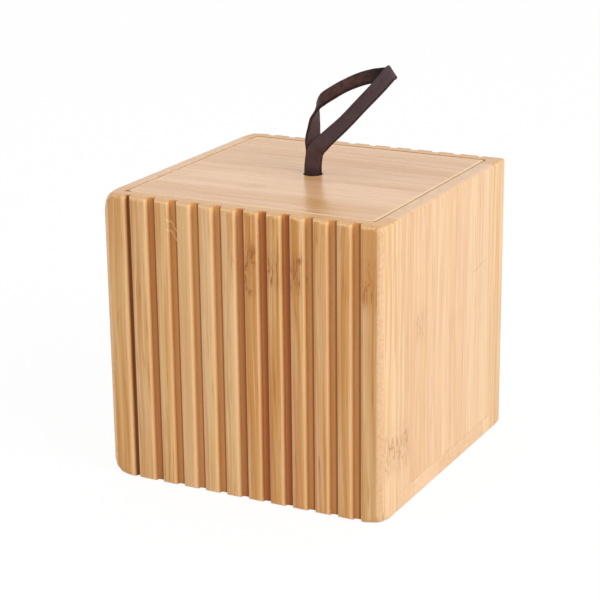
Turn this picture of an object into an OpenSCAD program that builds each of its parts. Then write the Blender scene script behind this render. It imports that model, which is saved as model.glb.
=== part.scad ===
// Lidded storage box of laminated bamboo with a leather loop for a handle.
// Fluted front and back panels, plain sides between them and a flush lift-off lid.
// The origin is at the middle of the underside, with the front towards -Y and +Z up.

/* [Box] */
// Width across the fluted front
box_w = 110; // [90:1:160]
// Depth from the face of the front panel to the face of the back panel
box_d = 111; // [90:1:160]
// Height of the box, without the leather loop
box_h = 107.5; // [80:0.5:160]
// Rounding of the upright corners
corner_r = 2.2; // [1:0.1:3]
// Rounding of the edges round the top
top_ease = 1.5; // [0.3:0.1:2]
// Rounding of the edges round the underside
base_ease = 1.8; // [0.3:0.1:2.5]

/* [Fluted panels] */
// Thickness of the front and back panels
panel_t = 12.5; // [11:0.5:18]
// Thickness of the rim that is left in front of and behind the lid
rim_t = 6.2; // [5:0.1:7]
// Distance from one flute to the next
flute_pitch = 8.92; // [8:0.01:14]
// Distance by which the row of flutes lies off the middle of its panel
flute_shift = 0.15; // [0:0.05:0.5]
// Width of a flute
flute_w = 3.3; // [2.4:0.1:4]
// Width of the one narrow flute, next to a corner
narrow_flute_w = 2; // [1.8:0.1:3]
// Depth of the flutes
flute_deep = 2.8; // [2:0.1:3.2]
// Least width of the rib at each corner
corner_rib_w = 8; // [6:0.5:12]
// Rounding of the long edges of the ribs
rib_ease = 1.4; // [0.3:0.1:1.5]
// Rounding in the bottom of the flutes
flute_floor_r = 0.8; // [0.3:0.1:1]

/* [Sides and bottom] */
// Thickness of the two side boards
side_t = 5.5; // [4.5:0.1:8]
// Thickness of the bottom board
floor_t = 7.5; // [6:0.5:10]
// Thickness of the tongues on the edges of the side and bottom boards
tongue_t = 2.2; // [1.6:0.1:3]
// Length by which the tongues reach into the panels
tongue_deep = 3; // [2:0.1:3.5]
// Length by which the tongues stop short of the outside
tongue_stop = 10; // [8:1:14]
// Glue line round a tongue
glue_gap = 0.1; // [0.05:0.01:0.2]

/* [Lid] */
// Thickness of the lid, which is also the depth of its seat
lid_t = 7; // [5:0.5:9]
// Gap between the lid and the rim on each side, with the lid in the middle
lid_gap = 0.45; // [0.45:0.05:0.8]
// Distance by which the lid lies off the middle of its seat, to the left
lid_shift = 0.15; // [0:0.05:0.15]
// Rounding of the corners of the lid, seen from above
lid_corner_r = 2; // [1:0.1:4]
// Rounding of the edges of the lid, above and below
lid_ease = 0.7; // [0.3:0.1:1.5]
// Diameter of the hole for the strap
hole_d = 7.2; // [7.2:0.1:10]
// Width of the bevel round the hole
hole_bevel = 0.25; // [0.2:0.05:0.8]
// Distance by which the hole lies off the middle of the box, to the back
hole_shift = 1.9; // [0:0.1:5]

/* [Leather strap] */
// Width of the strap
strap_w = 6.6; // [5:0.1:6.6]
// Thickness of the strap
strap_t = 1.2; // [0.9:0.1:1.3]
// Gap between the two runs of the strap in the hole
ply_gap = 0.2; // [0.1:0.05:0.2]
// Height of the loop above the bend at its foot
loop_rise = 37.5; // [30:0.5:60]
// Sideways reach of the loop
loop_reach = 29; // [24:1:45]
// Front to back swing of the loop along its length
loop_sway = 10; // [6:1:14]
// Radius of the fold at the tip of the loop
fold_r = 0.85; // [0.85:0.05:1.5]
// Bevel on the cut edges of the strap
strap_bevel = 0.25; // [0.1:0.05:0.3]
// Gap between the lid and the foot of the loop
foot_gap = 0.25; // [0.2:0.05:0.5]

/* [Knot under the lid] */
// Radius of the knot
knot_r = 6.2; // [5:0.1:8]
// Height of each turn of the knot
knot_turn_h = 5; // [4.2:0.1:7]
// Rounding of the turns of the knot
knot_ease = 2; // [1:0.1:2]
// Slope of each turn, to one side and to the other
knot_slope = 18; // [10:1:25]
// Angle by which each turn is swung round, one way and the other
knot_swing = 30; // [20:1:40]
// Height of the upper turn above the knot's middle, and of the lower turn below it
knot_step = 1; // [0.5:0.1:1.5]
// Length of the two ends below the knot
tail_l = 7; // [4:1:12]
// Slope by which each end stands off
tail_slope = 10; // [4:1:14]

/* [Hidden] */
$fn = 48;
// Overrun of every cut past the face that it opens
overrun = 1;
// The bottom of a narrow flute is rounded by no more than this share of its width
flute_floor_share = 0.4;
bamboo = "#d2ab86";
bamboo_side = "#dfc3a1";
leather = "#4b3a37";

// Flutes: as many as fit between the corner ribs. The narrow one comes first.
flute_count = 1 + floor((box_w - 2 * corner_rib_w - flute_w) / flute_pitch);
first_flute_x = flute_shift - (flute_count - 1) / 2 * flute_pitch;

// Clear inside of the box, and the seat of the lid
inner_w = box_w - 2 * side_t;
inner_d = box_d - 2 * panel_t;
seat_z = box_h - lid_t;
lid_w = inner_w - 2 * lid_gap;
lid_d = box_d - 2 * rim_t - 2 * lid_gap;

// Strap: the two runs stand face to face in the hole
ply_y = (strap_t + ply_gap) / 2;
foot_r = strap_t + ply_gap / 2;
foot_z = box_h + foot_gap + foot_r;
knot_z = seat_z - knot_step - knot_ease - (knot_turn_h / 2 - knot_ease) * cos(knot_slope)
         - (knot_r - knot_ease) * sin(knot_slope) - ply_gap;

// Route of the strap. Each row has the place of its middle line, as shares of the
// reach, the sway and the rise, and then the direction across the strap. The front
// run climbs to the fold, and the rear run comes back over it with half a twist.
front_run_shares = [
    [0.00,  0.00, 0.00,   1.00,  0.00,  0.00],
    [0.01,  0.00, 0.07,   1.00,  0.10,  0.00],
    [0.07, -0.12, 0.20,   0.92,  0.20, -0.25],
    [0.22, -0.22, 0.32,   0.70, -0.42, -0.55],
    [0.48, -0.17, 0.51,   0.70, -0.53, -0.47],
    [0.70, -0.01, 0.70,   0.73, -0.53, -0.43],
    [0.88,  0.20, 0.86,   0.74, -0.51, -0.44],
    [1.01,  0.38, 0.99,   0.70, -0.47, -0.54]];
rear_run_shares = [
    [0.78,  0.62, 0.95,   0.58, -0.61, -0.53],
    [0.62,  0.30, 0.92,   0.56, -0.68, -0.47],
    [0.45,  0.02, 0.86,   0.51, -0.74, -0.43],
    [0.28, -0.10, 0.78,   0.45, -0.74, -0.50],
    [0.15, -0.11, 0.71,   0.47, -0.75, -0.47],
    [0.08, -0.09, 0.64,   0.45, -0.87, -0.19],
    [0.04, -0.11, 0.53,   0.01, -0.99,  0.01],
    [0.02, -0.08, 0.44,  -0.17, -0.99, -0.03],
    [0.00, -0.05, 0.32,  -0.42, -0.90,  0.00],
    [0.01,  0.03, 0.19,  -0.85, -0.52,  0.00],
    [0.00,  0.00, 0.07,  -1.00, -0.10,  0.00],
    [0.00,  0.00, 0.00,  -1.00,  0.00,  0.00]];
// Rings along each stretch between two rows, round the fold and round the foot
stretch_rings = 4;
fold_rings = 8;
foot_rings = 8;

function unit(v) = v / norm(v);
function mix(a, b, u) = a * (1 - u) + b * u;
function place(row, side) = [row[0] * loop_reach, row[1] * loop_sway + side * ply_y, row[2] * loop_rise];
function across(row) = unit([row[3], row[4], row[5]]);
// Smooth curve from b to c that leaves in the direction c - a and arrives in the direction d - b
function curve(a, b, c, d, u) =
    b + (c - a) / 2 * u + (2 * a - 5 * b + 4 * c - d) / 2 * u * u + (3 * b - a - 3 * c + d) / 2 * u * u * u;

front_places = [for (row = front_run_shares) place(row, -1)];
front_across = [for (row = front_run_shares) across(row)];
front_last = len(front_places) - 1;
// The fold: the strap turns back on itself, and the rear run starts behind the front run
fold_start = front_places[front_last];
fold_ahead = unit(fold_start - front_places[front_last - 1]);
fold_behind = unit(cross(fold_ahead, front_across[front_last]));
rear_places = concat([fold_start + 2 * fold_r * fold_behind],
                     [for (row = rear_run_shares) place(row, 1)]);
rear_across = concat([front_across[front_last]], [for (row = rear_run_shares) across(row)]);
fold_back = unit(rear_places[0] - rear_places[1]);

// Each ring is the strap's middle line and the direction across it, without a run's last place
function run_rings(places, sides) = let (last = len(places) - 1) [
    for (i = [0:last - 1], k = [0:stretch_rings - 1])
        let (u = k / stretch_rings,
             before = i == 0 ? 2 * places[0] - places[1] : places[i - 1],
             after = i == last - 1 ? 2 * places[last] - places[last - 1] : places[i + 2])
        [curve(before, places[i], places[i + 1], after, u), unit(mix(sides[i], sides[i + 1], u))]];
fold_ring_list = [
    for (k = [0:fold_rings - 1])
        let (turn = 180 * k / fold_rings,
             ahead = unit(mix(fold_ahead, fold_back, k / fold_rings)))
        [fold_start + fold_r * (sin(turn) * ahead + (1 - cos(turn)) * fold_behind),
         front_across[front_last]]];
// The foot: the rear run turns under the middle of the bend into the front run
foot_ring_list = [
    for (k = [0:foot_rings - 1])
        let (turn = 180 * k / foot_rings)
        [[0, ply_y * cos(turn), -ply_y * sin(turn)], rear_across[len(rear_across) - 1]]];
rings = concat(run_rings(front_places, front_across), fold_ring_list,
               run_rings(rear_places, rear_across), foot_ring_list);
ring_count = len(rings);

// Corners of the strap's section, as [across, through] from the middle line. Half a turn
// of the section lands each corner on the one four places on.
section = [
    for (s = [1, -1]) each [
        [s * strap_w / 2, s * (strap_t / 2 - strap_bevel)],
        [s * (strap_w / 2 - strap_bevel), s * strap_t / 2],
        [-s * (strap_w / 2 - strap_bevel), s * strap_t / 2],
        [-s * strap_w / 2, s * (strap_t / 2 - strap_bevel)]]];
function ring_points(i) =
    let (along = unit(rings[(i + 1) % ring_count][0] - rings[(i + ring_count - 1) % ring_count][0]),
         wide = rings[i][1],
         thick = unit(cross(along, wide)))
    [for (p = section) rings[i][0] + p[0] * wide + p[1] * thick];

// Corner to take off a flat shape, so that the corner at the origin gets the radius r
module corner_bite(r) {
    difference() {
        translate([-overrun, -overrun]) square(r + overrun);
        translate([r, r]) circle(r);
    }
}

// Rectangle that stands on the X axis, centred, with its low and high corners rounded
module eased_rect(w, h, low_r, high_r) {
    difference() {
        translate([-w / 2, 0]) square([w, h]);
        for (side = [0, 1]) mirror([side, 0]) {
            translate([-w / 2, 0]) corner_bite(low_r);
            translate([-w / 2, h]) mirror([0, 1]) corner_bite(high_r);
        }
    }
}

// Block on the XY plane with its upright corners rounded, and its edges eased above and below
module eased_block(w, d, h, upright_r, low_r, high_r) {
    intersection() {
        translate([0, -d / 2, 0]) linear_extrude(h) eased_rect(w, d, upright_r, upright_r);
        rotate([90, 0, 0]) linear_extrude(d, center = true) eased_rect(w, h, low_r, high_r);
        rotate([90, 0, 90]) linear_extrude(w, center = true) eased_rect(d, h, low_r, high_r);
    }
}

// Outside of the closed box, which every outer board is cut to
module outside() {
    eased_block(box_w, box_d, box_h, corner_r, base_ease, top_ease);
}

// Outline of one flute, cut into a face on the X axis, with eased lips and a rounded bottom
module flute_outline(w) {
    floor_r = min(flute_floor_r, w * flute_floor_share);
    translate([-w / 2, -overrun]) square([w, flute_deep - floor_r + overrun]);
    translate([floor_r - w / 2, -overrun]) square([w - 2 * floor_r, flute_deep + overrun]);
    for (side = [-1, 1]) {
        translate([side * (w / 2 - floor_r), flute_deep - floor_r]) circle(floor_r);
        translate([side * w / 2, 0]) difference() {
            translate([-rib_ease, -overrun]) square([2 * rib_ease, rib_ease + overrun]);
            translate([side * rib_ease, rib_ease]) circle(rib_ease);
        }
    }
}

// Front panel in its place: flutes outside, and inside the lid's seat and the slots for the tongues
module fluted_panel() {
    inner_y = panel_t - box_d / 2;
    difference() {
        intersection() {
            outside();
            translate([-box_w / 2, -box_d / 2, 0]) cube([box_w, panel_t, box_h]);
        }
        for (i = [0:flute_count - 1]) {
            w = i == 0 ? narrow_flute_w : flute_w;
            x = first_flute_x + i * flute_pitch + (w - flute_w) / 2;
            translate([x, -box_d / 2, -overrun]) linear_extrude(box_h + 2 * overrun) flute_outline(w);
        }
        translate([-inner_w / 2, rim_t - box_d / 2, seat_z])
            cube([inner_w, panel_t, lid_t + overrun]);
        for (side = [-1, 1])
            translate([side * (box_w - side_t) / 2 - tongue_t / 2 - glue_gap,
                       inner_y - tongue_deep - glue_gap, floor_t])
                cube([tongue_t + 2 * glue_gap, tongue_deep + glue_gap + overrun,
                      box_h - tongue_stop - floor_t + glue_gap]);
        translate([tongue_stop - glue_gap - box_w / 2, inner_y - tongue_deep - glue_gap,
                   (floor_t - tongue_t) / 2 - glue_gap])
            cube([box_w - 2 * (tongue_stop - glue_gap), tongue_deep + glue_gap + overrun,
                  tongue_t + 2 * glue_gap]);
    }
}

// Right side board in its place, standing on the bottom board between the two panels
module side_board() {
    intersection() {
        outside();
        union() {
            translate([inner_w / 2, -inner_d / 2, floor_t]) cube([side_t, inner_d, box_h - floor_t]);
            translate([(box_w - side_t - tongue_t) / 2, -inner_d / 2 - tongue_deep, floor_t])
                cube([tongue_t, inner_d + 2 * tongue_deep, box_h - tongue_stop - floor_t]);
        }
    }
}

module front_panel() {
    color(bamboo) fluted_panel();
}

// The back panel is the same board turned about
module back_panel() {
    color(bamboo) rotate([0, 0, 180]) fluted_panel();
}

module left_side() {
    color(bamboo_side) mirror([1, 0, 0]) side_board();
}

module right_side() {
    color(bamboo_side) side_board();
}

// Bottom board: its ends show under the side boards, and its tongues sit in the panels
module bottom_board() {
    color(bamboo) {
        intersection() {
            outside();
            translate([-box_w / 2, -inner_d / 2, 0]) cube([box_w, inner_d, floor_t]);
        }
        translate([tongue_stop - box_w / 2, -inner_d / 2 - tongue_deep, (floor_t - tongue_t) / 2])
            cube([box_w - 2 * tongue_stop, inner_d + 2 * tongue_deep, tongue_t]);
    }
}

// Lid: lies on the two ledges, flush with the rim, with the hole for the strap
module lid_board() {
    color(bamboo_side) translate([0, 0, seat_z]) difference() {
        translate([-lid_shift, 0, 0]) eased_block(lid_w, lid_d, lid_t, lid_corner_r, lid_ease, lid_ease);
        translate([0, hole_shift, -overrun]) cylinder(h = lid_t + 2 * overrun, d = hole_d);
        translate([0, hole_shift, lid_t - hole_bevel])
            cylinder(h = hole_bevel + overrun, d1 = hole_d, d2 = hole_d + 2 * (hole_bevel + overrun));
    }
}

// One turn of the knot, a flat drum with a rounded edge
module knot_turn() {
    rotate_extrude() {
        translate([0, -knot_turn_h / 2]) square([knot_r - knot_ease, knot_turn_h]);
        translate([0, knot_ease - knot_turn_h / 2]) square([knot_r, knot_turn_h - 2 * knot_ease]);
        for (side = [-1, 1])
            translate([knot_r - knot_ease, side * (knot_turn_h / 2 - knot_ease)]) circle(knot_ease);
    }
}

// The part of the strap below the lid's face: two runs in the hole, the knot and its two ends
module strap_knot() {
    color(leather) translate([0, hole_shift, knot_z]) for (side = [-1, 1]) {
        translate([-strap_w / 2, side * ply_y - strap_t / 2, -knot_step])
            cube([strap_w, strap_t, box_h - knot_z + knot_step]);
        rotate([side * tail_slope, 0, 0])
            translate([-strap_w / 2, side * ply_y - strap_t / 2, -knot_r - tail_l])
                cube([strap_w, strap_t, knot_r + tail_l]);
        translate([0, 0, side * knot_step]) rotate([0, side * knot_slope, side * knot_swing]) knot_turn();
    }
}

// The loop above the lid: the strap swept once round, closed by its half twist
module strap_loop() {
    sides = len(section);
    color(leather) translate([0, hole_shift, foot_z]) polyhedron(
        points = [for (i = [0:ring_count - 1]) each ring_points(i)],
        faces = [
            for (i = [0:ring_count - 1], k = [0:sides - 1], half = [0:1])
                let (next = (i + 1) % ring_count * sides,
                     shift = i == ring_count - 1 ? sides / 2 : 0,
                     a = i * sides + k,
                     b = i * sides + (k + 1) % sides,
                     c = next + (k + shift) % sides,
                     d = next + (k + 1 + shift) % sides)
                half == 0 ? [a, c, b] : [b, c, d]]);
}

front_panel();
back_panel();
left_side();
right_side();
bottom_board();
lid_board();
strap_knot();
strap_loop();
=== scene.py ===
# Storage box of laminated bamboo with a leather loop on its lid, dressed around the packed
# model of the part, with the front towards -Y and +Z up. The pieces' own lengths are in
# millimetres, which MM turns into metres. The studio and the camera's distance are in metres.
from math import cos, pi, radians, sin

import bmesh
import bpy
from mathutils import Matrix, Vector


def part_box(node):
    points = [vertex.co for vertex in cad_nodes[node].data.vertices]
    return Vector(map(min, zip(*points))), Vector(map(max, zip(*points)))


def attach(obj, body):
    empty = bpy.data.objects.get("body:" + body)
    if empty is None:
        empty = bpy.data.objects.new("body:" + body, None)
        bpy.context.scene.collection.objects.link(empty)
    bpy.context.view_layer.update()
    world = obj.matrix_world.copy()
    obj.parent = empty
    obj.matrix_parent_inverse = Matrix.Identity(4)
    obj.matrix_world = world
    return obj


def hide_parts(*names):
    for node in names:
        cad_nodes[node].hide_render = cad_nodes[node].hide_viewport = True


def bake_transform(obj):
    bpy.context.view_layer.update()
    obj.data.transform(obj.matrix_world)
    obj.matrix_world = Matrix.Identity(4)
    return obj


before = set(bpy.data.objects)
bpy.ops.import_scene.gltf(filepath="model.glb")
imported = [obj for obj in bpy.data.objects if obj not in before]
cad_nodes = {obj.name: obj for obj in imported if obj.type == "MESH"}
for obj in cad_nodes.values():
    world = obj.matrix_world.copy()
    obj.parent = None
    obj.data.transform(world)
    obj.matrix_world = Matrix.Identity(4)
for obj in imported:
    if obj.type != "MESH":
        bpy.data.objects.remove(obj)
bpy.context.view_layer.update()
MM = 0.001

# Camera
# A long lens looks at the corner between the front and the right side from a little above,
# and leans a trace to one side, as fitted to the edges of the box in the photograph.
camera_azimuth = radians(27.513)
camera_elevation = radians(17.633)
camera_roll = radians(-0.63)
camera_target = Vector((-4.518, -0.941, 58.933)) * MM
camera_distance = 0.7
sensor_width = 36
picture_width = 600
focal_pixels = 1863.168

camera_data = bpy.data.cameras.new("camera")
camera_data.sensor_width = sensor_width
camera_data.lens = focal_pixels * sensor_width / picture_width
camera_data.clip_start = 0.05
camera_data.clip_end = 20
camera = bpy.data.objects.new("camera", camera_data)
bpy.context.scene.collection.objects.link(camera)
camera_back = Vector((sin(camera_azimuth) * cos(camera_elevation),
                      -cos(camera_azimuth) * cos(camera_elevation), sin(camera_elevation)))
level_right = Vector((cos(camera_azimuth), sin(camera_azimuth), 0))
level_up = camera_back.cross(level_right)
camera_right = cos(camera_roll) * level_right + sin(camera_roll) * level_up
camera_up = cos(camera_roll) * level_up - sin(camera_roll) * level_right
camera.matrix_world = (Matrix.Translation(camera_target + camera_back * camera_distance)
                       @ Matrix((camera_right, camera_up, camera_back)).transposed().to_4x4())
bpy.context.scene.camera = camera
bpy.context.scene.view_settings.view_transform = "Standard"


# White table and studio
# The box stands on a white table top that runs on out of the picture. White light comes
# from all round, one large soft lamp to the right makes the right side the brightest, and
# a weak one in front lights the flutes.
def add(tree, kind, inputs=None, **settings):
    """Adds a node. Each input is a value, or the output that feeds it."""
    made = tree.nodes.new(kind)
    for key, value in settings.items():
        setattr(made, key, value)
    for key, value in (inputs or {}).items():
        if isinstance(value, bpy.types.NodeSocket):
            tree.links.new(value, made.inputs[key])
        else:
            made.inputs[key].default_value = value
    return made


def calc(tree, operation, *values, clamp=False):
    """Adds a Math node and returns its output."""
    return add(tree, "ShaderNodeMath", dict(enumerate(values)),
               operation=operation, use_clamp=clamp).outputs[0]


def empty_tree(owner):
    """The node tree of a material or a world, with nothing in it yet."""
    owner.use_nodes = True
    owner.node_tree.nodes.clear()
    return owner.node_tree


def seen_rays(tree):
    """1 for rays from the camera and from shiny or clear surfaces, and 0 for all others."""
    rays = add(tree, "ShaderNodeLightPath").outputs
    shiny = calc(tree, "MAXIMUM", rays["Is Camera Ray"], rays["Is Glossy Ray"])
    return calc(tree, "MAXIMUM", shiny, rays["Is Transmission Ray"])


table_reach = 4
table_corners = [(x * table_reach, y * table_reach, 0) for x, y in ((-1, -1), (1, -1), (1, 1), (-1, 1))]
table_mesh = bpy.data.meshes.new("table_top")
table_mesh.from_pydata(table_corners, [], [(0, 1, 2, 3)])
table_top = bpy.data.objects.new("table_top", table_mesh)
bpy.context.scene.collection.objects.link(table_top)

pure_white = (1, 1, 1, 1)
table_colour = (0.86, 0.86, 0.86, 1)
table_glow = 1.03
shadow_share = 0.1
table_paint = bpy.data.materials.new("white_table")
tree = empty_tree(table_paint)
seen = seen_rays(tree)
matt_white = add(tree, "ShaderNodeBsdfDiffuse", {"Color": table_colour})
plain_white = add(tree, "ShaderNodeEmission", {"Color": pure_white, "Strength": table_glow})
table_mix = add(tree, "ShaderNodeMixShader", {0: calc(tree, "MULTIPLY", seen, 1 - shadow_share),
                                              1: matt_white.outputs[0], 2: plain_white.outputs[0]})
add(tree, "ShaderNodeOutputMaterial", {"Surface": table_mix.outputs[0]})
table_mesh.materials.append(table_paint)

room_light = 0.68
backdrop_light = 1.0
world = bpy.data.worlds.new("white_room")
bpy.context.scene.world = world
tree = empty_tree(world)
seen = seen_rays(tree)
room = add(tree, "ShaderNodeBackground", {"Color": pure_white, "Strength": room_light})
backdrop = add(tree, "ShaderNodeBackground", {"Color": pure_white, "Strength": backdrop_light})
world_mix = add(tree, "ShaderNodeMixShader", {0: seen, 1: room.outputs[0], 2: backdrop.outputs[0]})
add(tree, "ShaderNodeOutputWorld", {"Surface": world_mix.outputs[0]})

lamps_look_at = Vector((0, 0, 0.05))
lamp_size = 0.9
for lamp_name, lamp_place, lamp_power in (("side_lamp", Vector((1.15, -0.35, 0.75)), 9.0),
                                          ("front_lamp", Vector((-0.35, -1.3, 0.8)), 0.8)):
    lamp_data = bpy.data.lights.new(lamp_name, "AREA")
    lamp_data.shape = "SQUARE"
    lamp_data.size = lamp_size
    lamp_data.energy = lamp_power
    lamp = bpy.data.objects.new(lamp_name, lamp_data)
    bpy.context.scene.collection.objects.link(lamp)
    lamp_turn = (lamp_place - lamps_look_at).to_track_quat("Z", "Y").to_matrix().to_4x4()
    lamp.matrix_world = Matrix.Translation(lamp_place) @ lamp_turn


# Fluted panels
# The front and back boards are glued up from upright bamboo strips, planed, and fluted from
# end to end with a moulding cutter. A clear satin lacquer covers all the wood.
FLOAT, VECTOR = "NodeSocketFloat", "NodeSocketVector"


def group_of(name, kind, inputs, outputs):
    """Makes a node group. Each input has a type and a value, and each output a type."""
    group = bpy.data.node_groups.new(name, kind)
    for key, (socket_type, value) in inputs.items():
        socket = group.interface.new_socket(key, in_out="INPUT", socket_type=socket_type)
        if value is not None:
            socket.default_value = value
    for key, socket_type in outputs.items():
        group.interface.new_socket(key, in_out="OUTPUT", socket_type=socket_type)
    return group


def place_on_piece(tree):
    """The place on the piece in millimetres."""
    return add(tree, "ShaderNodeVectorMath", {0: add(tree, "ShaderNodeTexCoord").outputs["Object"],
                                              1: (1 / MM, 1 / MM, 1 / MM)}, operation="MULTIPLY").outputs[0]


def stretch(tree, place, across, along):
    """Scales a place in millimetres, with the grain along its third axis."""
    return add(tree, "ShaderNodeVectorMath", {0: place, 1: (across, across, along)},
               operation="MULTIPLY").outputs[0]


def noise(tree, place, detail=2.0, roughness=0.5, distortion=0.0):
    """Noise from 0 to 1, with about one swell to each unit of the place."""
    return add(tree, "ShaderNodeTexNoise",
               {"Vector": place, "Scale": 1.0, "Detail": detail, "Roughness": roughness,
                "Distortion": distortion}).outputs["Fac"]


def lines(tree, place, width, length, detail=1.0, distortion=0.0):
    """Noise drawn out along the grain in lines of about this width and length. It lies mostly
    between -1 and 1."""
    drawn_out = stretch(tree, place, 0.5 / width, 0.5 / length)
    value = noise(tree, drawn_out, detail=detail, distortion=distortion)
    return calc(tree, "MULTIPLY_ADD", value, 4.0, -2.0)


def ramp(tree, value, low, high):
    """A mask that rises softly from 0 at low to 1 at high. Low may be the greater one."""
    return add(tree, "ShaderNodeMapRange", {"Value": value, "From Min": low, "From Max": high},
               interpolation_type="SMOOTHSTEP").outputs["Result"]


def away(tree, value, middle):
    """How far a value is from the middle, to either side."""
    return calc(tree, "ABSOLUTE", calc(tree, "SUBTRACT", value, middle))


def overlap(tree, *masks):
    """Where all of the masks are."""
    shared = masks[0]
    for mask in masks[1:]:
        shared = calc(tree, "MULTIPLY", shared, mask)
    return shared


def blend_colour(tree, mask, first, second, strength=None):
    """Mixes a second colour into the first where the mask is. A colour is a value or an output."""
    factor = mask if strength is None else calc(tree, "MULTIPLY", mask, strength)
    mixed = add(tree, "ShaderNodeMix", {"Factor": factor}, data_type="RGBA")
    for socket, colour in ((mixed.inputs[6], first), (mixed.inputs[7], second)):
        if isinstance(colour, bpy.types.NodeSocket):
            tree.links.new(colour, socket)
        else:
            socket.default_value = colour
    return mixed.outputs[2]


def hairline(tree, run, across, middle, slope, half_length, half_width, core_share):
    """A short thin line. It runs along one axis, slopes across another and fades to its ends."""
    core_half_width = 0.1
    along = calc(tree, "SUBTRACT", run, middle[0])
    aside = away(tree, calc(tree, "MULTIPLY_ADD", along, -slope, across), middle[1])
    return overlap(tree, ramp(tree, aside, half_width, core_half_width),
                   ramp(tree, calc(tree, "ABSOLUTE", along), half_length, half_length * core_share))


def bamboo_grain_group():
    """Streaks, strips and fibres of glued-up bamboo, from a place in millimetres with the
    strips side by side along X and the grain along Z."""
    group = group_of("bamboo_grain", "ShaderNodeTree",
                     {"Place": (VECTOR, None), "Strip Width": (FLOAT, 18.0), "Strip Offset": (FLOAT, 0.0),
                      "Seed": (FLOAT, 0.0)},
                     {"Strip": FLOAT, "Streaks": FLOAT, "Bands": FLOAT, "Hue": FLOAT, "Fibres": FLOAT})
    given = add(group, "NodeGroupInput").outputs
    axes = add(group, "ShaderNodeSeparateXYZ", {0: given["Place"]}).outputs
    # The strips are straight. Each has its own stretch of wood, whose grain wanders a little
    wander, depth_step, grain_step, hue_step = 5.0, 61.0, 370.0, 40.0
    fine_share, broad_share = 0.6, 0.7
    across = calc(group, "ADD", axes[0], given["Strip Offset"])
    index = calc(group, "FLOOR", calc(group, "DIVIDE", across, given["Strip Width"]))
    strip = add(group, "ShaderNodeTexWhiteNoise", {"W": calc(group, "ADD", index, given["Seed"])},
                noise_dimensions="1D").outputs["Value"]
    drift = noise(group, stretch(group, given["Place"], 0.02, 0.012), detail=1.0)
    shifted = add(group, "ShaderNodeCombineXYZ", {
        0: calc(group, "MULTIPLY_ADD", drift, wander, axes[0]),
        1: calc(group, "MULTIPLY_ADD", strip, depth_step, axes[1]),
        2: calc(group, "MULTIPLY_ADD", strip, grain_step, axes[2])}).outputs[0]
    fine_lines = lines(group, shifted, width=0.38, length=22)
    broad_lines = lines(group, shifted, width=0.95, length=45)
    streaks = calc(group, "MULTIPLY_ADD", fine_lines, fine_share,
                   calc(group, "MULTIPLY", broad_lines, broad_share))
    bands = lines(group, shifted, width=2.6, length=90, detail=2.0)
    beside = add(group, "ShaderNodeVectorMath", {0: shifted, 1: (hue_step, 0, 0)}).outputs[0]
    hue = lines(group, beside, width=1.3, length=60)
    fibres = ramp(group, lines(group, shifted, width=0.3, length=9), 0.4, 0.95)
    add(group, "NodeGroupOutput", {"Strip": strip, "Streaks": streaks, "Bands": bands, "Hue": hue,
                                   "Fibres": fibres})
    return group


def bamboo_node_group():
    """The figure of a culm's node where a strip was cut through it: dark strokes along the
    grain and a row of pits, in a browner field that runs out along the grain."""
    group = group_of("bamboo_node", "ShaderNodeTree",
                     {"Place": (VECTOR, None), "Middle": (VECTOR, None), "Half Width": (FLOAT, 10.0),
                      "Half Height": (FLOAT, 5.0)},
                     {"Strokes": FLOAT, "Pits": FLOAT, "Field": FLOAT})
    given = add(group, "NodeGroupInput").outputs
    offset = add(group, "ShaderNodeVectorMath", {0: given["Place"], 1: given["Middle"]},
                 operation="SUBTRACT").outputs[0]
    axes = add(group, "ShaderNodeSeparateXYZ", {0: offset}).outputs
    ripple_rise, pits_above = 2.2, 1.0
    ripple = lines(group, given["Place"], width=2.5, length=6)
    level = calc(group, "MULTIPLY_ADD", ripple, ripple_rise, axes[2])
    across = calc(group, "DIVIDE", calc(group, "ABSOLUTE", axes[0]), given["Half Width"])
    along = calc(group, "DIVIDE", calc(group, "ABSOLUTE", level), given["Half Height"])
    inside = ramp(group, across, 1.15, 0.85)
    field = overlap(group, inside, ramp(group, along, 1.8, 0.3))
    short_lines = lines(group, offset, width=0.5, length=2.1, detail=1.5, distortion=0.7)
    strokes = overlap(group, inside, ramp(group, along, 1.15, 0.5), ramp(group, short_lines, -0.15, 0.65))
    pits = overlap(group, ramp(group, lines(group, offset, width=0.4, length=0.5), 0.5, 0.8),
                   ramp(group, away(group, level, pits_above), 1.6, 0.7), inside)
    add(group, "NodeGroupOutput", {"Strokes": strokes, "Pits": pits, "Field": field})
    return group


bamboo_grain = bamboo_grain_group()
bamboo_node = bamboo_node_group()
node_colour = (0.40, 0.135, 0.02, 1)
yellow_band = (0.80, 0.55, 0.17, 1)
pink_band = (0.80, 0.46, 0.33, 1)
fibre_shade = (0.62, 0.5, 0.38)
# How much each part of a node's figure and of the plain grain counts in the colour
field_share, stroke_share, pit_share = 0.15, 0.75, 1.2
streak_share, band_share, lean_share, fibre_share = 0.36, 0.22, 0.22, 0.3
# How much rougher the dark streaks are, and how far the fibres lie below them
streak_roughness, fibre_dent = 0.04, -0.8


def culm_mark(tree, place, middle_across, middle_grain, half_width, half_height, strength):
    """How much darker the figure of a culm's node makes the wood at a place in millimetres."""
    marked = add(tree, "ShaderNodeGroup", {"Place": place, "Middle": (middle_across, 0, middle_grain),
                                           "Half Width": half_width, "Half Height": half_height},
                 node_tree=bamboo_node).outputs
    figure = calc(tree, "MULTIPLY_ADD", marked["Field"], field_share * strength,
                  calc(tree, "MULTIPLY", marked["Strokes"], stroke_share * strength))
    return calc(tree, "MULTIPLY_ADD", marked["Pits"], pit_share * strength, figure, clamp=True)


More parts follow.
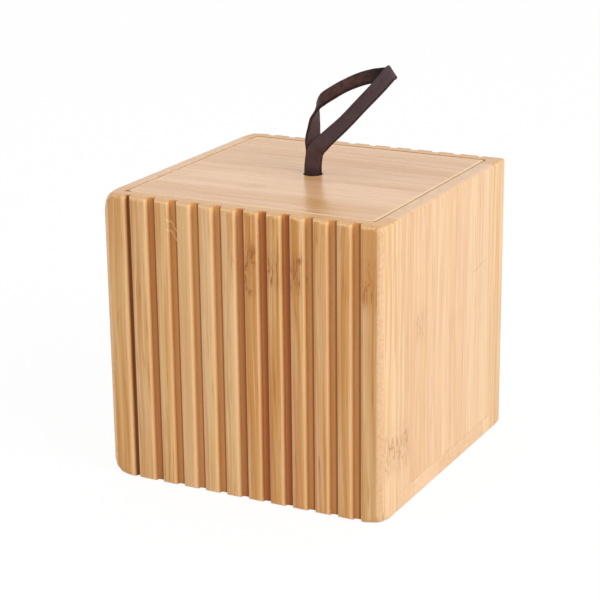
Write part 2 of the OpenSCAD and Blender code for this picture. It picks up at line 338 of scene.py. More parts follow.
def bamboo(name, across, depth, grain, pale, deep, strip_width, strip_offset, seed, contrast=1.0,
           strip_share=0.5, gloss=0.36, culm_nodes=(), finish_off=None):
    """Lacquered bamboo. across, depth and grain say which of the axes 0, 1 and 2 run across
    the strips, through the board and along the grain. Each of the culm's nodes has its middle
    across and along the grain, its half width, its half height and its strength."""
    material = bpy.data.materials.new(name)
    tree = empty_tree(material)
    place = place_on_piece(tree)
    axes = add(tree, "ShaderNodeSeparateXYZ", {0: place}).outputs
    turned = add(tree, "ShaderNodeCombineXYZ", {0: axes[across], 1: axes[depth], 2: axes[grain]}).outputs[0]
    grained = add(tree, "ShaderNodeGroup", {"Place": turned, "Strip Width": strip_width,
                                            "Strip Offset": strip_offset, "Seed": seed},
                  node_tree=bamboo_grain).outputs
    # How deep the colour is: strip by strip, streak by streak, and in soft bands
    tone = calc(tree, "MULTIPLY_ADD", grained["Strip"], strip_share, 0.5 - strip_share / 2)
    tone = calc(tree, "MULTIPLY_ADD", grained["Streaks"], streak_share * contrast, tone)
    tone = calc(tree, "MULTIPLY_ADD", grained["Bands"], band_share, tone, clamp=True)
    colour = blend_colour(tree, tone, pale, deep)
    # The bands lean to yellow or to pink by turns
    yellow = ramp(tree, grained["Hue"], 0.0, 0.9)
    pink = ramp(tree, grained["Hue"], -0.1, -0.9)
    colour = blend_colour(tree, yellow, colour, yellow_band, strength=lean_share)
    colour = blend_colour(tree, pink, colour, pink_band, strength=lean_share)
    fibre_colour = tuple(c * s for c, s in zip(deep[:3], fibre_shade)) + (1,)
    colour = blend_colour(tree, grained["Fibres"], colour, fibre_colour, strength=fibre_share * contrast)
    for culm_node in culm_nodes:
        colour = blend_colour(tree, culm_mark(tree, turned, *culm_node), colour, node_colour)
    if finish_off:
        colour = finish_off(tree, place, axes, grained, colour)
    rough = calc(tree, "MULTIPLY_ADD", grained["Streaks"], streak_roughness, gloss)
    height = calc(tree, "MULTIPLY_ADD", grained["Fibres"], fibre_dent, grained["Streaks"])
    bump = add(tree, "ShaderNodeBump", {"Strength": 0.2, "Distance": 0.0001, "Height": height})
    lacquered = add(tree, "ShaderNodeBsdfPrincipled", {
        "Base Color": colour, "Roughness": rough, "Normal": bump.outputs[0],
        "Coat Weight": 0.08, "Coat Roughness": 0.2, "IOR": 1.45})
    add(tree, "ShaderNodeOutputMaterial", {"Surface": lacquered.outputs[0]})
    return material


panel_face = 55.5
panel_end = 55.0
panel_top = 107.5
# The glued-up box is sanded by hand, harder at some corners than at others. Each corner's
# rounding is given by the side, the front or back and the bottom or top that it is at.
box_half = Vector((panel_end, panel_face, panel_top / 2))
sanded_off = 0.01
edge_round, corner_reach = 1.5, 9.0
corner_rounds = {(-1, -1, 1): 4.0, (-1, -1, -1): 4.2, (1, -1, -1): 4.4, (1, -1, 1): 2.2,
                 (1, 1, 1): 1.5, (1, 1, -1): 2.2, (-1, 1, 1): 3.0, (-1, 1, -1): 3.5}
# How far from the edges the sanding block has its rows of points
from_edge = (0, 0.25, 0.5, 0.8, 1.1, 1.5, 2, 2.6, 3.3, 4.1, 5, 6.2, 7.6, 9.2, 11)


def sanded_place(place):
    """Moves a place on the sharp box in to the sanded one."""
    half = box_half - Vector((sanded_off,) * 3)
    corner = tuple(1 if place[i] > 0 else -1 for i in range(3))
    nearness = max(0.0, 1 - max(half[i] - abs(place[i]) for i in range(3)) / corner_reach)
    nearness = nearness * nearness * (3 - 2 * nearness)
    rounding = edge_round + (corner_rounds[corner] - edge_round) * nearness
    core = Vector([max(rounding - half[i], min(half[i] - rounding, place[i])) for i in range(3)])
    return core + (place - core).normalized() * rounding + Vector((0, 0, box_half.z))


def sanding_block():
    """The outside of the whole box, as one closed mesh that the boards are cut to."""
    half = box_half - Vector((sanded_off,) * 3)
    steps = [[-h + t for t in from_edge] + [h - t for t in reversed(from_edge)] for h in half]
    block = bmesh.new()
    corners = {}

    def corner(key):
        if key not in corners:
            corners[key] = block.verts.new(sanded_place(Vector([steps[i][key[i]] for i in range(3)])) * MM)
        return corners[key]

    last = 2 * len(from_edge) - 1
    for axis in range(3):
        one, two = [i for i in range(3) if i != axis]
        for end in (0, last):
            for i in range(last):
                for j in range(last):
                    keys = []
                    for di, dj in ((0, 0), (1, 0), (1, 1), (0, 1)):
                        key = [end] * 3
                        key[one], key[two] = i + di, j + dj
                        keys.append(tuple(key))
                    block.faces.new([corner(key) for key in keys])
    bmesh.ops.recalc_face_normals(block, faces=block.faces)
    mesh = bpy.data.meshes.new("sanding_block")
    block.to_mesh(mesh)
    block.free()
    made = bpy.data.objects.new("sanding_block", mesh)
    bpy.context.scene.collection.objects.link(made)
    return made


def evaluated_mesh(piece):
    """A plain mesh of the piece as its modifiers leave it. The modifiers are then removed."""
    mesh = bpy.data.meshes.new_from_object(piece.evaluated_get(bpy.context.evaluated_depsgraph_get()))
    piece.modifiers.clear()
    return mesh


def sanded(node, name, material):
    """A board with its outer edges and corners sanded round, in the place of its CAD node."""
    merged = bmesh.new()
    merged.from_mesh(cad_nodes[node].data)
    bmesh.ops.remove_doubles(merged, verts=merged.verts, dist=1e-6)
    mesh = bpy.data.meshes.new(name)
    merged.to_mesh(mesh)
    merged.free()
    mesh.materials.clear()
    board = bpy.data.objects.new(name, mesh)
    bpy.context.scene.collection.objects.link(board)
    block = sanding_block()
    sanding = board.modifiers.new("sanding", "BOOLEAN")
    sanding.operation, sanding.solver, sanding.object = "INTERSECT", "EXACT", block
    cut = evaluated_mesh(board)
    bpy.data.objects.remove(block)
    if "custom_normal" in cut.attributes:
        cut.attributes.remove(cut.attributes["custom_normal"])
    cut.shade_smooth()
    cut.set_sharp_from_angle(angle=radians(35))
    board.data = cut
    board.modifiers.new("even_shading", "WEIGHTED_NORMAL").keep_sharp = True
    board.data = evaluated_mesh(board)
    board.data.materials.clear()
    board.data.materials.append(material)
    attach(board, "box")
    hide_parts(node)


honey_pale = (0.80, 0.51, 0.245, 1)
honey_deep = (0.585, 0.24, 0.038, 1)
cut_pale = (0.87, 0.57, 0.30, 1)
cut_deep = (0.74, 0.42, 0.165, 1)
top_pale = (0.78, 0.45, 0.205, 1)
top_deep = (0.68, 0.35, 0.125, 1)
rubbed_pale = (0.86, 0.56, 0.34, 1)
rubbed_deep = (0.76, 0.44, 0.24, 1)
# Flute colours: darker and redder deep in the flutes, partly a stain and partly painted shade, darker still
# for painted shade towards their right, and a painted shadow line
flute_stain_and_shade = (0.69, 0.315, 0.08, 1)
dark_flute_stain_and_shade = (0.44, 0.10, 0.004, 1)
flute_shadow_colour = (0.25, 0.062, 0.004, 1)
# Pale colour for the painted highlights on the ribs' shoulders and top edges, and for worn chips on the top
# edges
worn_and_highlight_colour = (0.95, 0.63, 0.32, 1)
scratch_colour = (1.0, 0.74, 0.42, 1)
flute_pitch, first_flute, narrow_flute_end, last_rib = 8.92, -44.45, -43.5, 47.5
# Each part of the finish fades in from the first of its two distances to the second. These are
# measured from the middle of a rib or a flute
rib_sides, dark_sides, shade_onset, flute_shadow_onset = (4.4, 3.2), (3.2, 2.2), (-1.5, -0.1), (-0.3, 0.3)
# These are depths below the ribs' faces
highlight_from, highlight_to, stain_and_shade_from, deepest_from = (0.1, 0.5), (2.2, 1.4), (1.6, 2.7), (1.7, 2.7)
sawn_from, top_edge_to, rubbed_edge_to = (3.0, 3.4), (2.0, 1.2), (1.7, 1.1)
# These are measured from the panels' ends, or down from their top
sawn_width, rubbed_width, top_edge_height, end_grain_height = (2.4, 1.9), (2.7, 2.3), (1.9, 0.6), (0.7, 0.2)
# The flutes that took more of the stain, each by its middle and how much more. Deep in them the darkening
# also grows to the right as painted shade
dark_flutes = ((-35.5, 0.5), (0.1, 0.6), (9.1, 0.95), (18.0, 1.0))
# Ribs that are paler or deeper than their strip, each by its middle, how much, the height
# from which it is so and the colour that it leans to
odd_ribs = ((-22.3, 0.55, -20, honey_pale), (40.2, 0.25, -20, honey_deep), (-51, 0.3, -20, honey_deep),
            (50, 0.6, 84, honey_deep))
# The two scratches, each by its middle's place across and up, its lean and its half length
scratches = ((-27.4, 98.4, -0.6, 3.1), (-27.3, 94.8, -0.58, 2.9))
# The culm's node on the sawn right end of the front panel
end_node = (-45, 25.5, 8.5, 9, 0.6)


def stain_and_shade_flutes(tree, axes, depth, fluted, grained, colour):
    """Colours the flutes darker and redder with depth, partly as staining and partly as painted shade. Deep
    in them painted shade grows to the right, and a painted shadow line runs along their right edge and
    fills the narrow flute."""
    # Deep in the flutes the colour turns darker and redder: partly a stain, partly painted shade in the
    # recess
    stain_and_shade = overlap(tree, ramp(tree, depth, *stain_and_shade_from), fluted,
                    calc(tree, "MULTIPLY_ADD", grained["Streaks"], 0.25, 0.85, clamp=True))
    colour = blend_colour(tree, stain_and_shade, colour, flute_stain_and_shade)
    in_flute = calc(tree, "WRAP", calc(tree, "SUBTRACT", axes[0], first_flute), flute_pitch / 2,
                    -flute_pitch / 2)
    deepest = overlap(tree, ramp(tree, depth, *deepest_from), fluted)
    # Painted shade: in the deepest part the darkening grows towards the right of each flute
    shade_rightwards = calc(tree, "MULTIPLY_ADD", ramp(tree, in_flute, *shade_onset), 0.6, 0.4)
    for middle_x, share in dark_flutes:
        flute = overlap(tree, ramp(tree, away(tree, axes[0], middle_x), *dark_sides), deepest, shade_rightwards)
        colour = blend_colour(tree, flute, colour, dark_flute_stain_and_shade, strength=share)
    # Painted shadow: a dark line along the right edge of each flute's deepest part, in the shade of the
    # next rib, and the deepest part of the narrow flute made all dark
    narrow_flute = ramp(tree, axes[0], narrow_flute_end, narrow_flute_end - 0.5)
    line = calc(tree, "MULTIPLY", ramp(tree, in_flute, *flute_shadow_onset), 0.75)
    flute_shadow = overlap(tree, calc(tree, "MAXIMUM", line, narrow_flute), deepest)
    return blend_colour(tree, flute_shadow, colour, flute_shadow_colour)


def saw_ends(tree, axes, depth, to_end, grained, colour):
    """Gives the sawn ends and the inside fine pale and dark lines, and the right end of the
    front panel a culm's node."""
    sawn = calc(tree, "MAXIMUM", ramp(tree, to_end, *sawn_width), ramp(tree, depth, *sawn_from))
    streaked = calc(tree, "MULTIPLY_ADD", grained["Streaks"], 1.3, 0.42, clamp=True)
    sawn_colour = blend_colour(tree, streaked, cut_pale, cut_deep)
    end_place = add(tree, "ShaderNodeCombineXYZ", {0: axes[1], 1: axes[0], 2: axes[2]}).outputs[0]
    end_mark = overlap(tree, culm_mark(tree, end_place, *end_node),
                       calc(tree, "GREATER_THAN", axes[0], 0.0))
    sawn_colour = blend_colour(tree, end_mark, sawn_colour, node_colour)
    return blend_colour(tree, sawn, colour, sawn_colour)


def rub_edges(tree, place, depth, to_end, colour):
    """Rubs the upright edges through to pinkish, mottled wood."""
    mottle = noise(tree, stretch(tree, place, 1.1, 0.7), detail=3.0)
    uneven_end = calc(tree, "MULTIPLY_ADD", mottle, 0.8, to_end)
    rubbed_edge = overlap(tree, ramp(tree, uneven_end, *rubbed_width), ramp(tree, depth, *rubbed_edge_to))
    rubbed_colour = blend_colour(tree, ramp(tree, mottle, 0.4, 0.65), rubbed_pale, rubbed_deep)
    return blend_colour(tree, rubbed_edge, colour, rubbed_colour, strength=0.6)


def finish_panel(tree, place, axes, grained, colour):
    """Gives the panels their odd ribs, painted highlights on the ribs' shoulders and top edges, partly worn
    chips on the top edges, rubbed upright edges, flutes stained and painted with shade, pale sawn ends,
    darker end grain on top and two scratches over the wall of a flute."""
    from_middle = calc(tree, "ABSOLUTE", axes[0])
    depth = calc(tree, "SUBTRACT", panel_face, calc(tree, "ABSOLUTE", axes[1]))
    to_end = calc(tree, "SUBTRACT", panel_end, from_middle)
    to_top = calc(tree, "SUBTRACT", panel_top, axes[2])
    fluted = ramp(tree, from_middle, last_rib + 0.5, last_rib - 0.5)
    for middle_x, share, from_z, shade in odd_ribs:
        rib = overlap(tree, ramp(tree, away(tree, axes[0], middle_x), *rib_sides),
                      ramp(tree, axes[2], from_z - 10, from_z + 6))
        colour = blend_colour(tree, rib, colour, shade, strength=share)
    # A painted highlight lies on the shoulders of the ribs, and below them the darker flute colour begins
    shoulder_highlight = overlap(tree, ramp(tree, depth, *highlight_from), ramp(tree, depth, *highlight_to), fluted)
    colour = blend_colour(tree, shoulder_highlight, colour, worn_and_highlight_colour, strength=0.7)
    colour = stain_and_shade_flutes(tree, axes, depth, fluted, grained, colour)
    # The top edges of the ribs get a pale colour in patches: partly worn chips, partly a painted highlight
    top_wear_and_highlight = overlap(tree, ramp(tree, to_top, *top_edge_height), ramp(tree, depth, *top_edge_to),
                         ramp(tree, noise(tree, stretch(tree, place, 0.8, 0.8)), 0.35, 0.6))
    colour = blend_colour(tree, top_wear_and_highlight, colour, worn_and_highlight_colour, strength=0.7)
    colour = saw_ends(tree, axes, depth, to_end, grained, colour)
    colour = rub_edges(tree, place, depth, to_end, colour)
    # The end grain on top has its own fine pores
    pores = noise(tree, stretch(tree, place, 1.5, 0))
    end_grain = blend_colour(tree, ramp(tree, pores, 0.35, 0.65), top_pale, top_deep)
    colour = blend_colour(tree, ramp(tree, to_top, *end_grain_height), colour, end_grain, strength=0.85)
    for middle_x, middle_z, lean, half_length in scratches:
        scratch = hairline(tree, axes[2], axes[0], (middle_z, middle_x), lean, half_length,
                           half_width=0.26, core_share=0.6)
        scratch = overlap(tree, scratch, calc(tree, "LESS_THAN", axes[1], 0.0))
        colour = blend_colour(tree, scratch, colour, scratch_colour, strength=0.7)
    return colour


fluted_bamboo = bamboo("fluted_bamboo", 0, 1, 2, honey_pale, honey_deep, strip_width=18.08,
                       strip_offset=1.0, seed=373.0, contrast=1.7, strip_share=0.7,
                       culm_nodes=[(12, 87, 13.5, 8, 1.35), (50, 87, 3.2, 9, 1.1)],
                       finish_off=finish_panel)
sanded("front_panel", "fluted_front", fluted_bamboo)
sanded("back_panel", "fluted_back", fluted_bamboo)

# Side and bottom boards
# Plain boards of the same bamboo, with upright grain, stand on the bottom board between the
# fluted panels. Fine dark glue lines show where they meet.
plain_pale = (0.91, 0.635, 0.37, 1)
plain_deep = (0.76, 0.44, 0.21, 1)
top_rim_colour = (0.80, 0.52, 0.33, 1)
seam_colour = (0.45, 0.22, 0.08, 1)
panel_seam, bottom_seam, seam_width = 43.0, 7.5, (0.4, 0.05)
side_rim, rim_ease = 51.0, 0.8
# The middle of a hairline crack in the right board, its slope and its half length
crack_y, crack_z, crack_slope, crack_half = 30.5, 71.6, 0.2, 6.5


def board_seams(tree, place, axes, grained, colour):
    """Glue lines along the panels and along the bottom board, which show in places only, a
    pinkish top edge, and the crack."""
    along_panel = away(tree, calc(tree, "ABSOLUTE", axes[1]), panel_seam)
    along_bottom = away(tree, axes[2], bottom_seam)
    seam = ramp(tree, calc(tree, "MINIMUM", along_panel, along_bottom), *seam_width)
    patches = ramp(tree, noise(tree, stretch(tree, place, 0.16, 0.16)), 0.45, 0.65)
    seam = overlap(tree, seam, calc(tree, "MULTIPLY_ADD", patches, 0.35, 0.12))
    colour = blend_colour(tree, seam, colour, seam_colour)
    rim = overlap(tree, ramp(tree, axes[2], panel_top - rim_ease, panel_top - 0.2),
                  ramp(tree, calc(tree, "ABSOLUTE", axes[0]), side_rim, side_rim + rim_ease))
    colour = blend_colour(tree, rim, colour, top_rim_colour, strength=0.55)
    crack = hairline(tree, axes[1], axes[2], (crack_y, crack_z), crack_slope, crack_half,
                     half_width=0.28, core_share=0.7)
    crack = overlap(tree, crack, calc(tree, "GREATER_THAN", axes[0], 0.0))
    return blend_colour(tree, crack, colour, seam_colour, strength=0.5)


plain_bamboo = bamboo("plain_bamboo", 1, 0, 2, plain_pale, plain_deep, strip_width=21.5,
                      strip_offset=0.0, seed=8.0, contrast=1.25,
                      culm_nodes=[(-41, 24, 8, 9, 0.6), (-24, 64.5, 4, 6, 0.35)],
                      finish_off=board_seams)
sanded("left_side", "plain_left", plain_bamboo)
sanded("right_side", "plain_right", plain_bamboo)
bottom_bamboo = bamboo("bottom_bamboo", 1, 2, 0, plain_pale, plain_deep, strip_width=21.5,
                       strip_offset=6.0, seed=2.0, contrast=0.5, finish_off=board_seams)
sanded("bottom_board", "plain_bottom", bottom_bamboo)

# Lid
# One plain board with its grain from side to side, planed thin with eased edges. It drops on
# the ledges in the panels, and its middle is drilled for the strap.
lid_pale = (0.89, 0.55, 0.30, 1)
lid_deep = (0.70, 0.35, 0.125, 1)
# Painted highlight on the eased edge of the lid
lid_edge_highlight = (0.93, 0.66, 0.36, 1)
# Painted shade for the gap round the lid
lid_gap_shade = (0.19, 0.07, 0.018, 1)
lid_low, lid_high = ([corner[i] / MM for i in range(3)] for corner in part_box("lid_board"))
# The painted highlight on the eased edge, and the painted shade of the gap line and of the front left
# corner, fade in from the first distance to the second
eased_width, eased_height = (1.4, 0.9), (0.3, 0.15)
line_top, line_foot, line_depth, line_from_left = (0.15, 0.35), (1.1, 0.8), (0.45, 0.3), (0.5, 1.5)
corner_shade_size = (2.7, 2.0)


def finish_lid(tree, place, axes, grained, colour):
    """A pale colour on the rounded top edge is a painted highlight. A dark line of painted shade for the
    gap runs below it, but not along the left edge, and painted shade marks the gap at the front left
    corner."""
    from_left, from_right, from_front, from_back = [
        calc(tree, "SUBTRACT", *pair) for i in range(2)
        for pair in ((axes[i], lid_low[i]), (lid_high[i], axes[i]))]
    nearest = calc(tree, "MINIMUM", calc(tree, "MINIMUM", from_left, from_right),
                   calc(tree, "MINIMUM", from_front, from_back))
    below = calc(tree, "SUBTRACT", lid_high[2], axes[2])
    # Painted highlight: a pale colour on the eased top edge
    eased_highlight = overlap(tree, ramp(tree, nearest, *eased_width), ramp(tree, below, *eased_height))
    colour = blend_colour(tree, eased_highlight, colour, lid_edge_highlight, strength=0.7)
    # Painted shade: a dark line on the lid's edge just below the top, where the gap is in shade
    line = overlap(tree, ramp(tree, below, *line_top), ramp(tree, below, *line_foot),
                   ramp(tree, nearest, *line_depth), ramp(tree, from_left, *line_from_left))
    # Painted shade at the gap's front left corner
    corner_shade = ramp(tree, calc(tree, "ADD", from_left, from_front), *corner_shade_size)
    return blend_colour(tree, calc(tree, "MAXIMUM", line, corner_shade), colour, lid_gap_shade, strength=0.85)


lid_bamboo = bamboo("lid_bamboo", 1, 2, 0, lid_pale, lid_deep, strip_width=24.0, strip_offset=7.0,
                    seed=5.0, contrast=1.15, gloss=0.26, culm_nodes=[(-24, -11.5, 3.5, 6, 0.4)],
                    finish_off=finish_lid)
lid_slots = cad_nodes["lid_board"].data.materials
lid_slots.clear()
lid_slots.append(lid_bamboo)

# Leather strap
# One lace cut from dark brown leather is doubled into the loop. The front run climbs to the
# fold at the tip, and the rear run comes back with half a twist. Both go down the hole.
strap_w, strap_t, ply_gap, edge_radius = 6.6, 1.2, 0.2, 0.3
loop_rise, loop_reach, loop_sway, fold_r = 37.5, 29, 10, 0.85
strap_foot = Vector((0, 1.9, 109.05))
ply_y = (strap_t + ply_gap) / 2
# Each row has the place of the strap's middle line, as shares of the reach, the sway and the
# rise, and then the direction across the strap
front_run = [(0.00, 0.00, 0.00, 1.00, 0.00, 0.00), (0.01, 0.00, 0.07, 1.00, 0.10, 0.00),
             (0.07, -0.12, 0.20, 0.92, 0.20, -0.25), (0.22, -0.22, 0.32, 0.70, -0.42, -0.55),
             (0.48, -0.17, 0.51, 0.70, -0.53, -0.47), (0.70, -0.01, 0.70, 0.73, -0.53, -0.43),
             (0.88, 0.20, 0.86, 0.74, -0.51, -0.44), (1.01, 0.38, 0.99, 0.70, -0.47, -0.54)]
rear_run = [(0.78, 0.62, 0.95, 0.58, -0.61, -0.53), (0.62, 0.30, 0.92, 0.56, -0.68, -0.47),
            (0.45, 0.02, 0.86, 0.51, -0.74, -0.43), (0.28, -0.10, 0.78, 0.45, -0.74, -0.50),
            (0.15, -0.11, 0.71, 0.47, -0.75, -0.47), (0.08, -0.09, 0.64, 0.45, -0.87, -0.19),
            (0.04, -0.11, 0.53, 0.01, -0.99, 0.01), (0.02, -0.08, 0.44, -0.17, -0.99, -0.03),
            (0.00, -0.05, 0.32, -0.42, -0.90, 0.00), (0.01, 0.03, 0.19, -0.85, -0.52, 0.00),
            (0.00, 0.00, 0.07, -1.00, -0.10, 0.00), (0.00, 0.00, 0.00, -1.00, 0.00, 0.00)]
neck_end = -13.0
# The strap is squeezed a little up to this height above its foot
foot_pinch, pinch_height = 0.93, 6
# How far the rear run lies aside of the front one at the fold, and how far ahead of it
fold_aside, fold_forward = -1.1, 0.3
stretch_rings, fold_rings, neck_rings = 10, 16, 8


def run_places(rows, side):
    """The places of a run's rows in millimetres, with the run to the front or to the back."""
    return [Vector((r[0] * loop_reach, r[1] * loop_sway + side * ply_y, r[2] * loop_rise)) for r in rows]


def run_rings(places, sides):
    """Places and directions across along a smooth curve through a run's rows."""
    rings = []
    for i in range(len(places) - 1):
        b, c = places[i], places[i + 1]
        a = places[i - 1] if i else 2 * b - c
        d = places[i + 2] if i + 2 < len(places) else 2 * c - b
        for k in range(stretch_rings):
            u = k / stretch_rings
            middle = (b + (c - a) / 2 * u + (2 * a - 5 * b + 4 * c - d) / 2 * u * u
                      + (3 * b - a - 3 * c + d) / 2 * u * u * u)
            rings.append((middle, sides[i].lerp(sides[i + 1], u).normalized()))
    return rings


def neck_ring(side, share, across):
    """A ring of the neck, which goes straight down the hole."""
    return Vector((0, side * ply_y, neck_end * share)), across


front_places = run_places(front_run, -1)
front_sides = [Vector(r[3:]).normalized() for r in front_run]
fold_side = front_sides[-1]
fold_start = front_places[-1]
fold_ahead = (fold_start - front_places[-2]).normalized()
fold_behind = fold_ahead.cross(fold_side).normalized()
fold_shift = fold_aside * fold_side + fold_forward * fold_ahead
rear_places = [fold_start + 2 * fold_r * fold_behind + fold_shift] + run_places(rear_run, 1)
rear_sides = [fold_side] + [Vector(r[3:]).normalized() for r in rear_run]
fold_back = (rear_places[0] - rear_places[1]).normalized()
fold_back = (fold_back - fold_side * fold_back.dot(fold_side)).normalized()
fold_run = []
for k in range(fold_rings):
    turn = pi * k / fold_rings
    ahead = fold_ahead.lerp(fold_back, k / fold_rings).normalized()
    fold_run.append((fold_start + fold_r * (sin(turn) * ahead + (1 - cos(turn)) * fold_behind)
                     + fold_shift * (1 - cos(turn)) / 2, fold_side))
up_front = [neck_ring(-1, 1 - k / neck_rings, front_sides[0]) for k in range(neck_rings)]
down_rear = [neck_ring(1, k / neck_rings, rear_sides[-1]) for k in range(neck_rings + 1)]
strap_rings = (up_front + run_rings(front_places, front_sides) + fold_run
               + run_rings(rear_places, rear_sides) + down_rear)
rings_to_fold = len(up_front) + stretch_rings * (len(front_run) - 1) + fold_rings // 2
fold_along = sum((strap_rings[i + 1][0] - strap_rings[i][0]).length for i in range(rings_to_fold))


def strap_sweep_tree():
    """Sweeps a flat band with rounded edges along a line. The line holds the direction across
    the band and the one its outer face looks in, and the band keeps the place in its section
    for the leather."""
    tree = group_of("strap_sweep", "GeometryNodeTree",
                    {"Geometry": ("NodeSocketGeometry", None), "Width": (FLOAT, strap_w * MM),
                     "Thickness": (FLOAT, strap_t * MM), "Edge Radius": (FLOAT, edge_radius * MM),
                     "Leather": ("NodeSocketMaterial", None)}, {"Geometry": "NodeSocketGeometry"})
    given = add(tree, "NodeGroupInput").outputs

    def store(geometry, key, value, kind="FLOAT_VECTOR"):
        return add(tree, "GeometryNodeStoreNamedAttribute",
                   {"Geometry": geometry, "Name": key, "Value": value},
                   data_type=kind, domain="POINT").outputs[0]

    def named(key):
        return add(tree, "GeometryNodeInputNamedAttribute", {"Name": key},
                   data_type="FLOAT_VECTOR").outputs[0]

    here = add(tree, "GeometryNodeInputPosition").outputs[0]
    line = store(given["Geometry"], "middle", here)
    line = add(tree, "GeometryNodeMeshToCurve", {"Mesh": line}).outputs[0]
    line = store(line, "along", add(tree, "GeometryNodeSplineParameter").outputs["Length"], "FLOAT")
    outline = add(tree, "GeometryNodeCurvePrimitiveQuadrilateral",
                  {"Width": given["Width"], "Height": given["Thickness"]})
    outline = add(tree, "GeometryNodeSubdivideCurve", {"Curve": outline.outputs[0], "Cuts": 5})
    outline = add(tree, "GeometryNodeFilletCurve",
                  {"Curve": outline.outputs[0], "Radius": given["Edge Radius"], "Count": 3}, mode="POLY")
    outline = store(outline.outputs[0], "section", here)
    band = add(tree, "GeometryNodeCurveToMesh",
               {"Curve": line, "Profile Curve": outline, "Fill Caps": True})
    section = add(tree, "ShaderNodeSeparateXYZ", {0: named("section")}).outputs
    place = named("middle")
    for key, share in (("across", section[0]), ("facing", section[1])):
        part = add(tree, "ShaderNodeVectorMath", {0: named(key), "Scale": share}, operation="SCALE")
        place = add(tree, "ShaderNodeVectorMath", {0: place, 1: part.outputs[0]}).outputs[0]
    band = add(tree, "GeometryNodeSetPosition", {"Geometry": band.outputs[0], "Position": place})
    band = add(tree, "GeometryNodeRealizeInstances", {"Geometry": band.outputs[0]})
    band = add(tree, "GeometryNodeSetMaterial", {"Geometry": band.outputs[0], "Material": given["Leather"]})
    add(tree, "NodeGroupOutput", {"Geometry": band.outputs[0]})
    return tree


strap_tree = strap_sweep_tree()


def swept_strap(name, runs, material):
    """Bands through runs of rings, each a place in millimetres, the direction across the
    band and how much of the full width it has there."""
    places, joins, across, facing = [], [], [], []
    for run in runs:
        first = len(places)
        for i, (middle, wide, share) in enumerate(run):
            ahead = (run[min(i + 1, len(run) - 1)][0] - run[max(i - 1, 0)][0]).normalized()
            places.append(middle * MM)
            across.append(wide * share)
            facing.append(wide.cross(ahead).normalized())
            if i:
                joins.append((first + i - 1, first + i))
    line = bpy.data.meshes.new(name)
    line.from_pydata(places, joins, [])
    for key, values in (("across", across), ("facing", facing)):
        stored = line.attributes.new(key, "FLOAT_VECTOR", "POINT")
        for i, value in enumerate(values):
            stored.data[i].vector = value
    piece = bpy.data.objects.new(name, line)
    bpy.context.scene.collection.objects.link(piece)
    sweep = piece.modifiers.new("sweep", "NODES")
    sweep.node_group = strap_tree
    inputs = [item for item in strap_tree.interface.items_tree if item.in_out == "INPUT"]
    identifiers = {item.name: item.identifier for item in inputs}
    for key, value in (("Width", strap_w * MM), ("Thickness", strap_t * MM),
                       ("Edge Radius", edge_radius * MM), ("Leather", material)):
        sweep[identifiers[key]] = value
    mesh = evaluated_mesh(piece)
    shell = bmesh.new()
    shell.from_mesh(mesh)
    bmesh.ops.recalc_face_normals(shell, faces=shell.faces)
    shell.to_mesh(mesh)
    shell.free()
    mesh.shade_smooth()
    mesh.set_sharp_from_angle(angle=radians(50))
    piece.data = mesh
    return piece


outer_dark = (0.064, 0.035, 0.037, 1)
outer_worn = (0.128, 0.083, 0.087, 1)
outer_mottled = (0.060, 0.034, 0.035, 1)
foot_colour = (0.045, 0.015, 0.014, 1)
flesh_red = (0.088, 0.029, 0.023, 1)
flesh_dark = (0.034, 0.012, 0.009, 1)
# Painted shade inside the fold
fold_shade_colour = (0.010, 0.004, 0.003, 1)
cut_edge_colour = (0.022, 0.009, 0.007, 1)
# The flesh side and the cut edges by their place in the strap's section, and the painted shade inside the
# fold by its distance along the strap, all in metres, as the sweep stores them
flesh_depth, edge_across, fold_shade_length = (-0.0001, -0.0004), (0.00305, 0.00325), (0.022, 0.004)
# The strap is darker at its foot, fading in from the first height in millimetres to the second
foot_height = (113.0, 110.0)


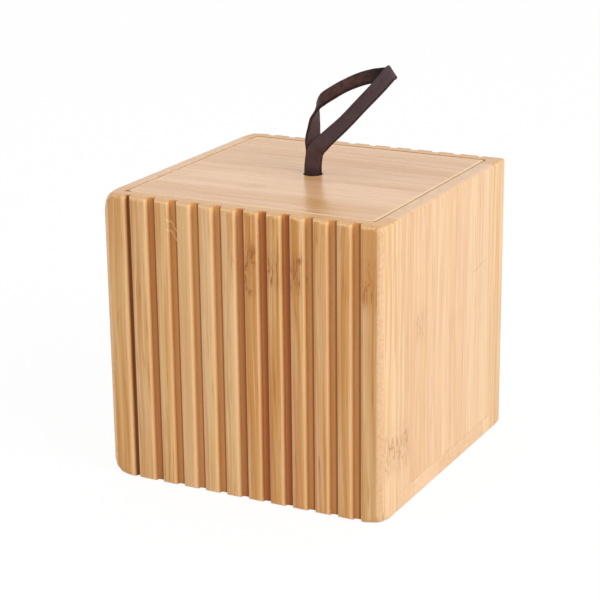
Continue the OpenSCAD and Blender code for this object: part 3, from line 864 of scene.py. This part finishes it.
def dark_leather():
    """Leather with a worn, mottled outer face, a redder flesh side with painted shade inside the fold, and
    dark cut edges."""
    material = bpy.data.materials.new("dark_leather")
    tree = empty_tree(material)
    place = place_on_piece(tree)
    height = add(tree, "ShaderNodeSeparateXYZ", {0: place}).outputs[2]
    section = add(tree, "ShaderNodeAttribute", attribute_name="section").outputs["Vector"]
    section = add(tree, "ShaderNodeSeparateXYZ", {0: section}).outputs
    along = add(tree, "ShaderNodeAttribute", attribute_name="along").outputs["Fac"]
    pores = noise(tree, stretch(tree, place, 1.6, 1.6), detail=3.0, roughness=0.65)
    mottle = noise(tree, stretch(tree, place, 0.4, 0.4), detail=3.0)
    flesh_side = ramp(tree, section[1], *flesh_depth)
    cut_edge = ramp(tree, calc(tree, "ABSOLUTE", section[0]), *edge_across)
    fold_shade = ramp(tree, away(tree, along, fold_along * MM), *fold_shade_length)
    darker_foot = ramp(tree, calc(tree, "MULTIPLY_ADD", mottle, 3.0, height), *foot_height)
    worn = calc(tree, "MULTIPLY_ADD", pores, 1.6, -0.3, clamp=True)
    outer = blend_colour(tree, worn, outer_dark, outer_worn)
    outer = blend_colour(tree, ramp(tree, mottle, 0.45, 0.7), outer, outer_mottled, strength=0.4)
    outer = blend_colour(tree, darker_foot, outer, foot_colour, strength=0.6)
    flesh = blend_colour(tree, ramp(tree, mottle, 0.35, 0.65), flesh_red, flesh_dark)
    # Painted shade: the flesh side darkens towards the fold
    flesh = blend_colour(tree, fold_shade, flesh, fold_shade_colour, strength=0.9)
    colour = blend_colour(tree, flesh_side, outer, flesh)
    colour = blend_colour(tree, cut_edge, colour, cut_edge_colour, strength=0.7)
    bump = add(tree, "ShaderNodeBump", {"Strength": 0.5, "Distance": 0.0002, "Height": pores})
    hide = add(tree, "ShaderNodeBsdfPrincipled", {
        "Base Color": colour, "Roughness": calc(tree, "MULTIPLY_ADD", pores, 0.2, 0.45),
        "Normal": bump.outputs[0], "IOR": 1.2})
    add(tree, "ShaderNodeOutputMaterial", {"Surface": hide.outputs[0]})
    return material


leather = dark_leather()
loop_run = [(strap_foot + middle, wide, foot_pinch if middle.z < pinch_height else 1.0)
            for middle, wide in strap_rings]
strap = swept_strap("leather_strap", [loop_run], leather)
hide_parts("strap_loop")
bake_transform(strap)

# Knot
# Both ends of the lace are tied in one overhand knot under the lid, which keeps the strap from
# slipping out. Its turns weave round the two runs, and the cut ends hang free.
knot_centre = Vector((0, 1.9, 93.4))
turn_round = 4.35
turn_weave, turn_slope, turn_drop = 0.75, 0.42, 1.3
turn_rings, turn_angle, dive_angle = 60, radians(205), radians(150)
turn_width, tail_width, dive_share = 0.66, 0.95, 0.5
tail_rings, tail_below, tail_spread, tail_curl = 12, 2, 2.4, 1.6
tail_turn, tail_tilt = -0.25, 0.1
# The length of each cut end and how far it leans to the side
front_tail, rear_tail = (8.6, 1.0), (7.4, 1.4)


def knot_turn(hand):
    """One turn round the runs. Its ends dive in towards the middle."""
    rings = []
    for k in range(turn_rings + 1):
        angle = turn_angle * (2 * k / turn_rings - 1)
        dive = max(0.0, (abs(angle) - dive_angle) / (turn_angle - dive_angle))
        reach = (turn_round + hand * turn_weave * cos(angle)) * (1 - dive_share * dive * dive)
        out = Vector((cos(angle) * hand, sin(angle), 0))
        rise = turn_slope * sin(angle) * reach * hand + turn_drop * hand * (angle / turn_angle) / 2
        rings.append(knot_centre + out * reach + Vector((0, 0, rise)))
    run = []
    for k, middle in enumerate(rings):
        ahead = (rings[min(k + 1, turn_rings)] - rings[max(k - 1, 0)]).normalized()
        wide = Vector((0, 0, -hand))
        run.append((middle, (wide - ahead * wide.dot(ahead)).normalized(), turn_width))
    return run


def knot_tail(side, length, lean):
    """A cut end, which leaves the knot beside the other one and curls away from it."""
    run = []
    for k in range(tail_rings + 1):
        share = k / tail_rings
        middle = knot_centre + Vector((side * lean * share * share,
                                       side * (ply_y + tail_spread * share ** tail_curl),
                                       -tail_below - length * share))
        wide = Vector((1, tail_turn * side * share, tail_tilt * side * share))
        run.append((middle, wide.normalized(), tail_width))
    return run


knot_runs = [knot_turn(1), knot_turn(-1), knot_tail(-1, *front_tail), knot_tail(1, *rear_tail)]
knot = swept_strap("leather_knot", knot_runs, leather)
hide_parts("strap_knot")
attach(knot, "lid")
